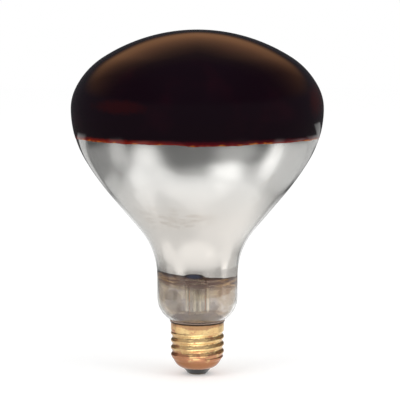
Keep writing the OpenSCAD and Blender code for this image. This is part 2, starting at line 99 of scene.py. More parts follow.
class HeatLampBulb(bpy.types.PropertyGroup):
    crown_radius: length("Crown radius", 85, "Radius of the crown arc, centred on the axis")
    shoulder_radius: length("Shoulder radius", 37.5, "Radius of the arc between the crown and the rim")
    rim_radius: length("Rim radius", 22.3, "Radius of the arc just above the widest ring")
    rim_turn: turn("Rim turn", 26.5, "Turn of the rim arc, up from the widest ring")
    bowl_radius: length("Bowl radius", 48.7, "Radius of the bowl just below the widest ring")
    bowl_turn: turn("Bowl turn", 30.5, "Turn of that part of the bowl")
    low_bowl_radius: length("Lower bowl radius", 128, "Radius of the flatter bowl below it")
    cone_slope: turn("Cone slope", 39.9, "Slope of the cone from the axis")
    flare_radius: length("Flare radius", 36.4, "Radius of the flare between the cone and the neck")
    neck_radius: length("Neck radius", 19.85, "Outside radius of the neck")
    neck_length: length("Neck length", 10.3, "Height of the straight neck")
    neck_shoulder_radius: length("Neck shoulder radius", 13.2, "Radius of the shoulder under the neck")
    wall: length("Wall", 0.9, "Wall of the blown glass")
    coat: length("Coating", 0.15, "Thickness of the ruby coating")
    coat_drop: length("Coating drop", 14, "Drop of the coating's edge below the widest ring")
    coat_sag: length("Coating sag", 0.75, "How much lower the coating's edge lies at the front")
    film_drop: length("Film drop", 10, "Drop of the film's upper edge below the widest ring")
    film_rise: length("Film rise", 1.8, "Rise of the film's lower edge above the straight neck")
    film_tilt: length("Film tilt", 1.3, "How much higher the film's lower edge lies on the left")
    ruby: colour("Ruby", (0.0060, 0.0022, 0.0045), "Colour of the coating")
    ruby_thin: colour("Thin ruby", (0.16, 0.012, 0.008), "Colour of the coating where it runs thin")
    film: colour("Film", (0.90, 0.889, 0.88), "Colour of the aluminium film")
    stain: colour("Stain", (0.10, 0.055, 0.030), "Colour of the burnt line under the film")
    haze: colour("Haze", (0.56, 0.46, 0.34), "Colour of the haze inside the neck")


class HeatLampStem(bpy.types.PropertyGroup):
    tube_radius: length("Flare tube radius", 6, "Outside radius of the flare tube")
    tube_wall: length("Flare tube wall", 1.1, "Wall of the flare tube")
    trumpet_radius: length("Trumpet radius", 15, "Radius of the tube's trumpet mouth")
    mouth_gap: length("Mouth gap", 0.15, "Gap between the tube's mouth and the glass tail")
    exhaust_wall: length("Exhaust tube wall", 0.8, "Wall of the exhaust tube")
    exhaust_tip: length("Exhaust tip", 3.2, "Length over which the exhaust tube is drawn in")
    glass: colour("Stem glass", (0.95, 0.94, 0.90), "Colour of the stem's glass")


class HeatLampBase(bpy.types.PropertyGroup):
    thread_depth: length("Thread depth", 0.85, "Depth of the rolled thread")
    thread_pitch: length("Thread pitch", 3.629, "Pitch of the thread")
    thread_start: length("Thread start", 8.3, "Height of a crest on the +X side above the shell's foot")
    thread_fade: length("Thread fade", 1.2, "Height over which the thread runs out")
    thread_radius: length("Thread radius", 13.15, "Radius over the thread's crests")
    collar_radius: length("Collar radius", 13.1, "Radius of the plain collar")
    collar_height: length("Collar height", 4.2, "Height of the plain collar")
    cup_height: length("Cup height", 5.6, "Height of the rounded foot and the step over it")
    step_radius: length("Step radius", 11.6, "Radius at the step over the rounded foot")
    step_height: length("Step height", 4.05, "Height of that step")
    lip_radius: length("Lip radius", 7.25, "Radius of the opening in the shell's foot")
    foot_radius: length("Foot radius", 6.15, "Radius of the rounded foot")
    lip_slope: turn("Lip slope", 75, "Slope of the sheet at the lip")
    foot_slope: turn("Foot slope", 33, "Slope of the sheet where the foot meets the step")
    wall: length("Sheet", 0.25, "Thickness of the brass sheet")
    brass: colour("Brass", (0.92, 0.66, 0.32), "Colour of the clean brass")
    tarnish: colour("Tarnish", (0.52, 0.21, 0.12), "Colour of the tarnish")
    grime: colour("Grime", (0.30, 0.18, 0.07), "Colour of the grime in the grooves")


class HeatLampStudio(bpy.types.PropertyGroup):
    camera_place: FloatVectorProperty(
        name="Camera place", description="Where the camera stands", size=3,
        default=(0.0013, -0.8015, 0.1696), subtype="TRANSLATION", unit="LENGTH")
    camera_tilt: turn("Camera tilt", 5.935, "How far the camera looks down")
    camera_lens: FloatProperty(name="Lens", description="Focal length on a 36 mm sensor", default=148.05)
    plain_level: strength("Plain level", 0.9, "Level of the plain light")
    floor_glow: strength("Floor glow", 0.22, "Level that the floor glows with for the camera")
    dark_level: strength("Dark level", 0.05, "Level that mirrors see between the sheets")
    kerb_level: strength("Kerb level", 0.95, "Level of the mirrored kerb")
    kerb_radius: length("Kerb radius", 80, "Radius of the mirrored kerb")
    kerb_height: length("Kerb height", 26, "Height of the mirrored kerb")
    kerb_end: length("Kerb end", 10, "How far behind the lamp's axis the kerb ends")


# Shades that the patterns mix in, beside the colours above

CLEAR_GLASS = (0.99, 0.99, 0.985)
# Cream of the painted highlight on the stem glass's edges
EDGE_HIGHLIGHT_CREAM = (1.0, 0.94, 0.82)
HAZE_GREY = (0.36, 0.30, 0.275)
HAZE_RIGHT = (0.44, 0.27, 0.14)
HAZE_BLOTCH = (0.22, 0.20, 0.18)
HAZE_PATCH = (0.25, 0.20, 0.185)
AMBER_MIDDLE = (0.25, 0.185, 0.15)
AMBER_SIDES = (0.52, 0.32, 0.15)
AMBER_STREAK = (0.13, 0.085, 0.075)
SOOT = (0.035, 0.025, 0.025)
# Shade of the painted dark reflection just under the film's edge
NAVY_REFLECTION_SHADE = (0.030, 0.034, 0.055)
RUBY_CLOUD = (0.0100, 0.0024, 0.0050)
RUBY_ORANGE = (0.42, 0.13, 0.02)
RUBY_EDGE = (0.065, 0.002, 0.005)
RUBY_EDGE_LEFT = (0.16, 0.008, 0.003)
FILM_CLOUD = (0.85, 0.845, 0.835)
FILM_LOW = (0.92, 0.866, 0.82)
FILM_STAIN = (0.58, 0.47, 0.37)
BRASS_ORANGE = (0.82, 0.51, 0.24)
BRASS_SCORCH = (0.42, 0.21, 0.11)
# Near-black of the painted shadow line just under the shell's rim
BRASS_SHADOW_LINE = (0.050, 0.022, 0.010)
BRASS_FOOT = (0.42, 0.18, 0.08)
BRASS_PIT = (0.25, 0.10, 0.05)
BLACK_GLASS = (0.012, 0.012, 0.016)
BLACK_GLASS_WARM = (0.030, 0.022, 0.020)
CEMENT_PALE = (0.90, 0.80, 0.72)
CEMENT_GREY = (0.62, 0.52, 0.48)
CRUST_BROWN = (0.42, 0.31, 0.26)
CRUST_PALE = (0.66, 0.51, 0.43)
# Near-black of the painted shadow line along the cement bead's foot
BEAD_SHADOW_LINE = (0.020, 0.012, 0.008)

# Red stains deep in the ruby: centre, half sizes and shade
RUBY_STAINS = (
    (mm(-35, -45, 134), mm(14, 30, 3.6), (0.017, 0.0022, 0.0034)),
    (mm(56, -10, 136), mm(5, 30, 9), (0.024, 0.0030, 0.0034)),
)

# The faint smudge on the front of the film: centre and half sizes
FILM_SMUDGE = (mm(-12, -25, 81), mm(20, 30, 6))


# Outlines, as points of radius and height

def arc(centre, radius, bulge, start, end, off=0.0, step=1.5 * MM):
    """Points of an arc, moved out by off square to the wall. Bulge is 1, or -1 where the wall lies inside."""
    count = max(2, math.ceil(abs(end - start) * radius / step))
    reach = radius + bulge * off
    angles = [start + (end - start) * i / count for i in range(count + 1)]
    return [(centre[0] + reach * math.cos(a), centre[1] + reach * math.sin(a)) for a in angles]


def joined(*runs):
    """Runs of points in a row, each shared point kept once."""
    points = []
    for run in runs:
        for p in run:
            if not points or math.dist(points[-1], p) > 0.002 * MM:
                points.append(p)
    return points


class BulbOutline:
    """The blown glass's arcs, from the frame's own heights and the bulb's sizes."""

    def __init__(self, b, base):
        low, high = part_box("bulb_glass")
        self.tail_z = low.z
        self.rim_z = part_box("screw_shell")[1].z
        bulb_r = high.x
        clear = 1.0 * MM
        pass_r = base.collar_radius - base.wall - clear
        tail_r = base.thread_radius - base.thread_depth - base.wall - clear
        self.tail_r = tail_r
        drop = math.acos(1 - (b.neck_radius - pass_r) / b.neck_shoulder_radius)
        throat_r = (pass_r - tail_r) / (1 - math.cos(drop))
        tail_top = self.rim_z - throat_r * math.sin(drop)
        self.neck_low = self.rim_z + b.neck_shoulder_radius * math.sin(drop)
        self.neck_top = self.neck_low + b.neck_length
        bowl_x = bulb_r - b.bowl_radius
        low_x = bowl_x + (b.bowl_radius - b.low_bowl_radius) * math.cos(b.bowl_turn)
        cone_top_r = low_x + b.low_bowl_radius * math.cos(b.cone_slope)
        cone_low_r = b.neck_radius + b.flare_radius * (1 - math.cos(b.cone_slope))
        cone_low = self.neck_top + b.flare_radius * math.sin(b.cone_slope)
        cone_top = cone_low + (cone_top_r - cone_low_r) / math.tan(b.cone_slope)
        low_z = cone_top + b.low_bowl_radius * math.sin(b.cone_slope)
        self.wide_z = low_z - (b.low_bowl_radius - b.bowl_radius) * math.sin(b.bowl_turn)
        shoulder_x = bulb_r - b.rim_radius + (b.rim_radius - b.shoulder_radius) * math.cos(b.rim_turn)
        shoulder_z = self.wide_z + (b.rim_radius - b.shoulder_radius) * math.sin(b.rim_turn)
        crown_turn = math.acos(shoulder_x / (b.crown_radius - b.shoulder_radius))
        crown_z = shoulder_z - (b.crown_radius - b.shoulder_radius) * math.sin(crown_turn)
        coat_turn = math.asin(b.coat_drop / b.bowl_radius)
        film_turn = math.asin(b.film_drop / b.bowl_radius)
        film_low_turn = math.asin(b.film_rise / b.flare_radius)
        half, flat = math.pi / 2, math.pi
        flare = (b.neck_radius + b.flare_radius, self.neck_top)
        neck = (b.neck_radius - b.neck_shoulder_radius, self.neck_low)
        self.face = [
            ((0, crown_z), b.crown_radius, 1, half, crown_turn),
            ((shoulder_x, shoulder_z), b.shoulder_radius, 1, crown_turn, b.rim_turn),
            ((bulb_r - b.rim_radius, self.wide_z), b.rim_radius, 1, b.rim_turn, 0),
            ((bowl_x, self.wide_z), b.bowl_radius, 1, 0, -film_turn),
        ]
        self.overlap = [((bowl_x, self.wide_z), b.bowl_radius, 1, -film_turn, -coat_turn)]
        self.bowl = [
            ((bowl_x, self.wide_z), b.bowl_radius, 1, -coat_turn, -b.bowl_turn),
            ((low_x, low_z), b.low_bowl_radius, 1, -b.bowl_turn, -b.cone_slope),
            (flare, b.flare_radius, -1, flat - b.cone_slope, flat - film_low_turn),
        ]
        self.neck = [
            (flare, b.flare_radius, -1, flat - film_low_turn, flat),
            (neck, b.neck_shoulder_radius, 1, 0, -drop),
            ((tail_r + throat_r, tail_top), throat_r, -1, flat - drop, flat),
        ]

    def points(self, arcs, off=0.0):
        return joined(*(arc(*a, off=off) for a in arcs))


# Modelling

def deselect():
    if bpy.context.object and bpy.context.object.mode != "OBJECT":
        bpy.ops.object.mode_set(mode="OBJECT")
    bpy.ops.object.select_all(action="DESELECT")


def named(name):
    """Name the object that was just added."""
    piece = bpy.context.object
    piece.name = name
    piece.data.name = name
    return piece


def turned(name, points, steps=192):
    """Draw an outline from one vertex by extruding it from point to point, and spin it round the axis."""
    deselect()
    bpy.ops.mesh.primitive_plane_add(size=MM, location=(points[0][0], 0, points[0][1]))
    bpy.ops.object.transform_apply(location=True, rotation=True, scale=True)
    piece = named(name)
    bpy.ops.object.mode_set(mode="EDIT")
    bpy.ops.mesh.select_all(action="SELECT")
    bpy.ops.mesh.merge(type="CENTER")
    for a, b in zip(points, points[1:]):
        bpy.ops.mesh.extrude_region_move(TRANSFORM_OT_translate={"value": (b[0] - a[0], 0, b[1] - a[1])})
    bpy.ops.mesh.select_all(action="SELECT")
    bpy.ops.mesh.spin(steps=steps, angle=2 * math.pi, center=(0, 0, 0), axis=(0, 0, 1))
    bpy.ops.mesh.select_all(action="SELECT")
    bpy.ops.mesh.remove_doubles(threshold=0.001 * MM)
    bpy.ops.mesh.normals_make_consistent(inside=False)
    bpy.ops.object.mode_set(mode="OBJECT")
    return piece


def smooth(piece, degrees=35):
    """Shade a piece smooth, but for edges sharper than an angle."""
    deselect()
    piece.select_set(True)
    bpy.context.view_layer.objects.active = piece
    bpy.ops.object.shade_smooth_by_angle(angle=math.radians(degrees))
    return piece


def polar(co):
    return math.hypot(co.x, co.y), math.atan2(co.y, co.x)


def set_polar(vertex, radius, angle, height):
    vertex.co = (radius * math.cos(angle), radius * math.sin(angle), height)


def ease(x):
    """Rise from 0 to 1 as x does, with a soft start and end."""
    x = max(0.0, min(1.0, x))
    return x * x * (3 - 2 * x)


def ripple(point, scale, seed):
    """A smooth random value from -1 to 1 at a point, with bumps of about scale."""
    return noise.noise(Vector(point) / scale + Vector((seed, seed * 0.7, -seed)))


def paint(piece, name, values):
    """Keep a value on each vertex for the finish to read."""
    piece.data.attributes.new(name, "FLOAT", "POINT").data.foreach_set("value", values)


def place(piece, material, slot, *nodes):
    """Finish a piece: its material, its body and the nodes that it stands for. The slot is not used."""
    piece.data.materials.clear()
    piece.data.materials.append(material)
    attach(piece, BODY)
    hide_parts(*nodes)


def dress(material, *nodes):
    """Give carried-over nodes a finish."""
    for name in nodes:
        mesh = NODES[name].data
        mesh.materials.clear()
        mesh.materials.append(material)


# Finishes

class Nodes:
    """Shorthand for the nodes of one material or world."""

    def __init__(self, tree):
        self.tree = tree

    def node(self, kind, **settings):
        made = self.tree.nodes.new(kind)
        for key, value in settings.items():
            setattr(made, key, value)
        return made

    def feed(self, socket, value):
        if isinstance(value, bpy.types.NodeSocket):
            self.tree.links.new(value, socket)
        elif socket.type == "RGBA":
            socket.default_value = (*value[:3], 1)
        else:
            socket.default_value = value

    def maths(self, operation, *values, clamp=False):
        made = self.node("ShaderNodeMath", operation=operation, use_clamp=clamp)
        for socket, value in zip(made.inputs, values):
            self.feed(socket, value)
        return made.outputs[0]

    def product(self, first, *others):
        """All the values multiplied."""
        for value in others:
            first = self.maths("MULTIPLY", first, value)
        return first

    def highest(self, first, *others):
        """The highest of the values."""
        for value in others:
            first = self.maths("MAXIMUM", first, value)
        return first

    def parts(self, vector):
        """The X, Y and Z of a vector."""
        made = self.node("ShaderNodeSeparateXYZ")
        self.feed(made.inputs[0], vector)
        return made.outputs

    def between(self, value, low, high, to_low=0.0, to_high=1.0, kind="SMOOTHSTEP"):
        """Map a value from one range to another, eased unless told otherwise, and hold it at the ends."""
        made = self.node("ShaderNodeMapRange", interpolation_type=kind)
        for socket, number in zip(made.inputs, (value, low, high, to_low, to_high)):
            self.feed(socket, number)
        return made.outputs[0]

    def mix(self, factor, a, b):
        made = self.node("ShaderNodeMix", data_type="RGBA")
        self.feed(made.inputs[0], factor)
        self.feed(made.inputs[6], a)
        self.feed(made.inputs[7], b)
        return made.outputs[2]


class Finish(Nodes):
    """One procedural material. Lengths of its patterns are metres on the object."""

    def __init__(self, name, colour=(0.8, 0.8, 0.8), **values):
        self.material = bpy.data.materials.new(name)
        self.material.use_nodes = True
        super().__init__(self.material.node_tree)
        self.surface = self.tree.nodes["Principled BSDF"]
        self.surface.inputs["Base Color"].default_value = (*colour, 1)
        self.place = self.node("ShaderNodeTexCoord").outputs["Object"]
        for key, value in values.items():
            self.surface.inputs[key.replace("_", " ")].default_value = value

    def set(self, name, value):
        self.feed(self.surface.inputs[name], value)

    def stretched(self, scale=(1, 1, 1), centre=(0, 0, 0), twist=0.0):
        """The place on the object, seen from a centre and in units of a scale."""
        made = self.node("ShaderNodeMapping", vector_type="TEXTURE")
        self.feed(made.inputs["Vector"], self.place)
        made.inputs["Location"].default_value = centre
        made.inputs["Rotation"].default_value = (0, 0, twist)
        made.inputs["Scale"].default_value = scale
        return made.outputs[0]

    def away(self, centre, half):
        """The distance from a centre, 1 on the oval of these half sizes."""
        made = self.node("ShaderNodeVectorMath", operation="LENGTH")
        self.feed(made.inputs[0], self.stretched(half, centre))
        return made.outputs["Value"]

    def noise(self, size, detail=2.0, rough=0.5, stretch=(1, 1, 1), twist=0.0):
        """A noise of bumps about size across, from 0 to 1."""
        made = self.node("ShaderNodeTexNoise", noise_dimensions="3D")
        self.feed(made.inputs["Vector"], self.stretched(stretch))
        made.inputs["Scale"].default_value = 1 / size
        made.inputs["Detail"].default_value = detail
        made.inputs["Roughness"].default_value = rough
        made.inputs["Distortion"].default_value = twist
        return made.outputs[0]

    def axis(self, name):
        return self.parts(self.place)[name]

    def bump(self, height, depth):
        made = self.node("ShaderNodeBump")
        made.inputs["Strength"].default_value = 1.0
        made.inputs["Distance"].default_value = depth
        self.feed(made.inputs["Height"], height)
        self.set("Normal", made.outputs[0])

    def attribute(self, name):
        return self.node("ShaderNodeAttribute", attribute_name=name).outputs["Fac"]


def blown_glass(b, outline):
    """Clear glass, with a burnt line, a brown haze and darker marks inside the neck under the film, and a
    painted navy reflection at the film's edge.
    """
    f = Finish("blown_glass", colour=(1, 1, 1), Roughness=0.0, IOR=1.5)
    x, height = f.axis("X"), f.axis("Z")
    beside = f.maths("ABSOLUTE", x)
    rim_z, neck_low = outline.rim_z, outline.neck_low
    film_z = outline.neck_top + b.film_rise
    tilt = f.maths("MULTIPLY", x, -b.film_tilt / b.neck_radius)
    depth = f.maths("SUBTRACT", film_z, f.maths("SUBTRACT", height, tilt))
    wander = f.maths("MULTIPLY_ADD", f.noise(9 * MM, 3), 3.0 * MM, -1.5 * MM)
    ragged = f.maths("ADD", depth, wander)
    streaks = f.noise(1.0 * MM, 4, 0.65, stretch=(9, 9, 1))
    inside = f.attribute("inside")

    # How much each mark, and the painted reflection, covers
    line = f.between(ragged, 0.3 * MM, 1.5 * MM, 1.0, 0.0)
    band = f.between(ragged, 3.5 * MM, 7.5 * MM, 1.0, 0.0)
    burnt = f.product(line, f.between(streaks, 0.35, 0.6, 0.5, 0.95))
    amber = f.product(band, f.between(streaks, 0.38, 0.60, 0.35, 0.90))
    haze = f.product(
        f.between(height, rim_z + 1 * MM, neck_low - 1 * MM, 0.14, 1.0),
        f.between(f.noise(11 * MM, 4, 0.6), 0.35, 0.65, 0.34, 0.56),
        f.between(f.axis("Y"), -6 * MM, 10 * MM, 0.22, 1.0),
        f.between(x, -6 * MM, 12 * MM, 1.0, 0.55))
    patch = f.product(
        f.between(height, rim_z + 9 * MM, rim_z + 5 * MM),
        f.between(f.noise(6 * MM, 4, 0.6), 0.38, 0.60, 0.45, 0.85),
        f.between(beside, 8 * MM, 13 * MM, 1.0, 0.2),
        f.between(height, rim_z + 1 * MM, rim_z + 3 * MM, 0.35, 1.0))
    spots = (
        (-11.5 * MM, -16 * MM, neck_low, mm(4, 9, 5)),
        (8.5 * MM, -17 * MM, neck_low + 5.5 * MM, mm(9, 9, 3)))
    blotches = [f.between(f.maths("ADD", f.away(centre, half), streaks), 0.7, 2.1, 0.42, 0.0)
                for *centre, half in spots]
    # Painted reflection: a dark navy lens on the inner wall just under the film's edge at the front
    navy_reflection = f.away((-1.6 * MM, -19 * MM, film_z + 0.4 * MM), mm(4.8, 9, 1.4))
    navy_reflection = f.between(f.maths("ADD", navy_reflection, f.product(streaks, 0.8)), 0.9, 1.5, 1.0, 0.0)
    navy_reflection = f.product(navy_reflection, inside)
    below_film = f.between(depth, -0.5 * MM, 0.1 * MM)
    cover = f.product(f.highest(haze, *blotches, patch, amber, burnt), below_film, inside)
    cover = f.highest(cover, f.product(navy_reflection, 0.92))

    # The shades of the marks and of the painted reflection
    tint = f.mix(f.between(f.noise(4 * MM, 3), 0.4, 0.65), b.haze, HAZE_GREY)
    tint = f.mix(f.between(x, 5 * MM, 15 * MM, 0.0, 0.6), tint, HAZE_RIGHT)
    tint = f.mix(f.maths("MULTIPLY", blotches[0], 1.8, clamp=True), tint, HAZE_BLOTCH)
    tint = f.mix(f.maths("MULTIPLY", patch, 1.2, clamp=True), tint, HAZE_PATCH)
    amber_tint = f.mix(f.between(beside, 7 * MM, 16 * MM), AMBER_MIDDLE, AMBER_SIDES)
    tint = f.mix(band, tint, f.mix(f.between(streaks, 0.4, 0.55), amber_tint, AMBER_STREAK))
    tint = f.mix(line, tint, f.mix(f.between(streaks, 0.45, 0.6), b.stain, SOOT))
    tint = f.mix(navy_reflection, tint, NAVY_REFLECTION_SHADE)
    f.set("Transmission Weight", f.maths("SUBTRACT", 1.0, cover, clamp=True))
    f.set("Base Color", f.mix(f.between(cover, 0.0, 0.15), CLEAR_GLASS, tint))
    return f.material


def ruby_gloss(b):
    """Near-black ruby, glowing red where the coating runs thin at its edge."""
    f = Finish("ruby_gloss", IOR=1.5)
    fine = f.noise(2.4 * MM, 4, 0.6)
    rags = f.maths("MULTIPLY_ADD", fine, 1.1 * MM, -0.5 * MM)
    depth = f.maths("ADD", f.attribute("edge_distance"), rags)
    deep = f.mix(f.between(f.noise(20 * MM, 3, 0.5), 0.5, 0.75), b.ruby, RUBY_CLOUD)
    for centre, half, shade in RUBY_STAINS:
        away = f.maths("ADD", f.away(centre, half), fine)
        deep = f.mix(f.between(away, 0.9, 1.7, 1.0, 0.0), deep, shade)
    left = f.product(f.between(f.axis("X"), -8 * MM, -26 * MM), f.between(f.axis("Y"), -5 * MM, -35 * MM))
    thin = f.mix(f.between(f.noise(5 * MM, 3), 0.46, 0.62), b.ruby_thin, RUBY_ORANGE)
    glow = f.mix(f.between(depth, 0.1 * MM, 1.0 * MM), thin, f.mix(left, RUBY_EDGE, RUBY_EDGE_LEFT))
    f.set("Base Color", f.mix(f.between(depth, 0.5 * MM, 2.7 * MM), glow, deep))
    f.set("Roughness", f.between(f.noise(17 * MM, 5, 0.6), 0.3, 0.7, 0.04, 0.10))
    f.bump(f.noise(9 * MM, 2, 0.4), 0.02 * MM)
    return f.material


def silver_film(b):
    """Vapour-deposited aluminium: a satin mirror with faint stains and one smudge."""
    f = Finish("silver_film", Metallic=1.0)
    base = f.mix(f.between(f.noise(26 * MM, 3, 0.5), 0.35, 0.75), b.film, FILM_CLOUD)
    base = f.mix(f.between(f.axis("Z"), 105 * MM, 75 * MM, 0.0, 0.8), base, FILM_LOW)
    stain = f.between(f.noise(13 * MM, 4, 0.6, twist=0.6), 0.62, 0.8, 0.0, 0.30)
    wrinkles = f.between(f.noise(2.6 * MM, 4, 0.6, stretch=(3, 3, 1)), 0.42, 0.64, 0.04, 0.32)
    smudge = f.product(f.between(f.away(*FILM_SMUDGE), 0.5, 1.3, 1.0, 0.0), wrinkles)
    f.set("Base Color", f.mix(f.highest(stain, smudge), base, FILM_STAIN))
    smear = f.noise(16 * MM, 4, 0.6, stretch=(1, 1, 3))
    f.set("Roughness", f.between(smear, 0.3, 0.7, 0.245, 0.27))
    return f.material


def stem_glass(s, name, clear_to, low_z):
    """Clear tube glass with a painted highlight: above a height, the wall turns cream and opaque where it is
    seen edge on, standing in for the light that the tube's edges bend in.
    """
    f = Finish(name, Roughness=0.0, IOR=1.52)
    turned_away = f.node("ShaderNodeLayerWeight")
    turned_away.inputs["Blend"].default_value = 0.5
    # Painted highlight: the wall turns cream and opaque where seen edge on, standing in for light that the
    # real tube's edges bend in
    painted_edge_highlight = f.product(
        f.between(turned_away.outputs["Facing"], clear_to, clear_to + 0.12),
        f.between(f.noise(2.5 * MM, 3, 0.5, (1, 1, 3)), 0.3, 0.6, 0.90, 1.0),
        f.between(f.axis("Z"), low_z - 1 * MM, low_z + 1 * MM))
    f.set("Transmission Weight", f.maths("SUBTRACT", 1.0, painted_edge_highlight))
    f.set("Base Color", f.mix(painted_edge_highlight, s.glass, EDGE_HIGHLIGHT_CREAM))
    return f.material


def metal(name, clean, dull, roughness, grain=0.4 * MM, depth=0.01 * MM):
    """A worked metal with duller patches and a fine grain."""
    f = Finish(name, Metallic=1.0)
    f.set("Base Color", f.mix(f.between(f.noise(2.5 * MM, 4, 0.6), 0.4, 0.7), clean, dull))
    f.set("Roughness", f.between(f.noise(1.2 * MM, 3, 0.6), 0.3, 0.7, roughness, roughness + 0.15))
    f.bump(f.noise(grain, 3, 0.6), depth)
    return f.material


def rolled_brass(base, foot_z, rim_z):
    """Brass with red tarnish towards the foot, a scorched band under the rim with a painted shadow line at
    the rim's edge, grime in the grooves and small pits.
    """
    f = Finish("rolled_brass", Metallic=0.9)
    height = f.axis("Z")
    patches = f.noise(4.0 * MM, 5, 0.66, stretch=(1.6, 1.6, 1))
    specks = f.noise(1.0 * MM, 4, 0.6)
    skin = f.mix(f.between(f.noise(7 * MM, 3), 0.35, 0.65), base.brass, BRASS_ORANGE)

    low = f.between(height, foot_z + 3 * MM, rim_z - 10 * MM, 0.22, -0.06)
    tarnish = f.between(f.maths("ADD", patches, low), 0.46, 0.64, 0.0, 0.85)
    skin = f.mix(tarnish, skin, base.tarnish)

    ragged = f.maths("ADD", height, f.maths("MULTIPLY_ADD", specks, 1.6 * MM, -0.8 * MM))
    middle = f.between(f.maths("ABSOLUTE", f.axis("X")), 4 * MM, 9 * MM, 1.0 * MM, 0.0)
    ragged = f.maths("ADD", ragged, middle)
    skin = f.mix(f.between(ragged, rim_z - 2.1 * MM, rim_z - 1.1 * MM, 0.0, 0.75), skin, BRASS_SCORCH)
    # Painted shadow: a near-black line just under the rim, where the cement bead shades the brass
    near_rim = f.maths("ADD", height, f.maths("MULTIPLY_ADD", specks, 0.4 * MM, -0.2 * MM))
    down = f.maths("SUBTRACT", rim_z, near_rim)
    skin = f.mix(f.between(down, 0.80 * MM, 0.4 * MM, 0.0, 0.95), skin, BRASS_SHADOW_LINE)

    groove = f.between(f.attribute("groove"), 0.72, 1.0)
    dirt = f.product(groove, f.between(specks, 0.35, 0.7, 0.05, 0.65))
    skin = f.mix(dirt, skin, base.grime)
    foot = f.between(height, foot_z + 5.5 * MM, foot_z + 3 * MM)
    skin = f.mix(f.product(foot, 0.7), skin, BRASS_FOOT)
    pits = f.between(specks, 0.62, 0.72, 0.0, 0.8)
    f.set("Base Color", f.mix(pits, skin, BRASS_PIT))
    f.set("Roughness", f.between(f.maths("ADD", patches, dirt), 0.3, 0.9, 0.17, 0.26))
    f.bump(f.maths("ADD", f.noise(2.4 * MM, 3, 0.5), f.product(pits, -0.5)), 0.04 * MM)
    return f.material


def black_glass():
    """Opaque black glass, glossy in places and dull in others."""
    f = Finish("black_glass", IOR=1.5)
    f.set("Base Color", f.mix(f.noise(1.5 * MM, 4, 0.6), BLACK_GLASS, BLACK_GLASS_WARM))
    f.set("Roughness", f.between(f.noise(1.2 * MM, 4), 0.35, 0.7, 0.10, 0.30))
    f.bump(f.noise(2.2 * MM, 3), 0.08 * MM)
    return f.material


def baked_cement(inner_radius, rim_z):
    """Cement that is paler where it lies behind the glass, with a brown crust on its bead and a painted
    shadow line along the bead's foot.
    """
    f = Finish("baked_cement")
    from_axis = f.away((0, 0, 0), (1, 1, 1e6))
    baked = f.between(from_axis, inner_radius, inner_radius + 0.5 * MM)
    fresh = f.mix(f.between(f.noise(3 * MM, 4, 0.6), 0.4, 0.6), CEMENT_PALE, CEMENT_GREY)
    crust = f.mix(f.noise(0.6 * MM, 4, 0.6), CRUST_BROWN, CRUST_PALE)
    # Painted shadow: the bead's foot, next to the rim, turns near-black
    crust = f.mix(f.between(f.axis("Z"), rim_z + 0.42 * MM, rim_z + 0.30 * MM), crust, BEAD_SHADOW_LINE)
    f.set("Base Color", f.mix(baked, fresh, crust))
    f.set("Roughness", f.between(f.noise(0.9 * MM, 3), 0.3, 0.7, 0.45, 0.75))
    f.bump(f.noise(0.35 * MM, 3, 0.6), 0.04 * MM)
    return f.material


# Operators, one for each piece or group of like pieces

class LampOperator(bpy.types.Operator):
    """Shared start of every piece's operator."""

    bl_options = {"REGISTER", "UNDO"}

    @property
    def bulb(self):
        return bpy.context.scene.heat_lamp_bulb

    @property
    def stem(self):
        return bpy.context.scene.heat_lamp_stem

    @property
    def base(self):
        return bpy.context.scene.heat_lamp_base

    @property
    def studio(self):
        return bpy.context.scene.heat_lamp_studio

    @property
    def outline(self):
        return BulbOutline(self.bulb, self.base)


class HEATLAMP_OT_bulb(LampOperator):
    """Blow the clear glass bulb: one wall from the crown to the tail in the base"""

    bl_idname = "heat_lamp.bulb"
    bl_label = "Blown bulb"

    def execute(self, context):
        b, o = self.bulb, self.outline
        arcs = o.face + o.overlap + o.bowl + o.neck
        outer = o.points(arcs) + [(o.tail_r, o.tail_z)]
        inner = o.points(arcs, -b.wall) + [(o.tail_r - b.wall, o.tail_z)]
        piece = smooth(turned("bulb_glass_blown", outer + inner[::-1], steps=224))
        paint(piece, "inside", [float(v.normal.x * v.co.x + v.normal.y * v.co.y < 0)
                                for v in piece.data.vertices])
        place(piece, blown_glass(b, o), "bulb_glass", "bulb_glass")
        return {"FINISHED"}


class HEATLAMP_OT_coating(LampOperator):
    """Coat the face with ruby, down to a slightly ragged edge"""

    bl_idname = "heat_lamp.coating"
    bl_label = "Ruby coating"

    def execute(self, context):
        b, o = self.bulb, self.outline
        gap, fade, sag_reach = mm(0.02, 3.0, 24)
        rows = mm(2.6, 1.8, 1.2, 0.8, 0.5, 0.25, 0.0)
        centre, radius, _, _, end = o.overlap[0]
        coated = radius + b.coat
        turns = [end + row / radius for row in rows]
        edge = [(centre[0] + coated * math.cos(t), centre[1] + coated * math.sin(t)) for t in turns]
        upper = o.points(o.face, b.coat)
        hidden = o.points(o.face + o.overlap, gap)
        piece = turned("ruby_coating_dipped", joined(upper, edge, hidden[::-1]), steps=256)
        edge_z = edge[-1][1]
        lowest = (7 * MM, -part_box("bulb_glass")[1].x)
        paint(piece, "edge_distance", [max(0.0, v.co.z - edge_z) for v in piece.data.vertices])
        for vertex in piece.data.vertices:
            sag = b.coat_sag * (1 - ease(math.dist(vertex.co.xy, lowest) / sag_reach))
            shift = 0.30 * MM * ripple(vertex.co, 9 * MM, 3.1) + 0.2 * MM * ripple(vertex.co, 2 * MM, 8.2)
            shift += 0.15 * MM - sag
            vertex.co.z += shift * (1 - ease((vertex.co.z - edge_z) / fade))
        smooth(piece)
        place(piece, ruby_gloss(b), "ruby_coat", "ruby_coating")
        return {"FINISHED"}


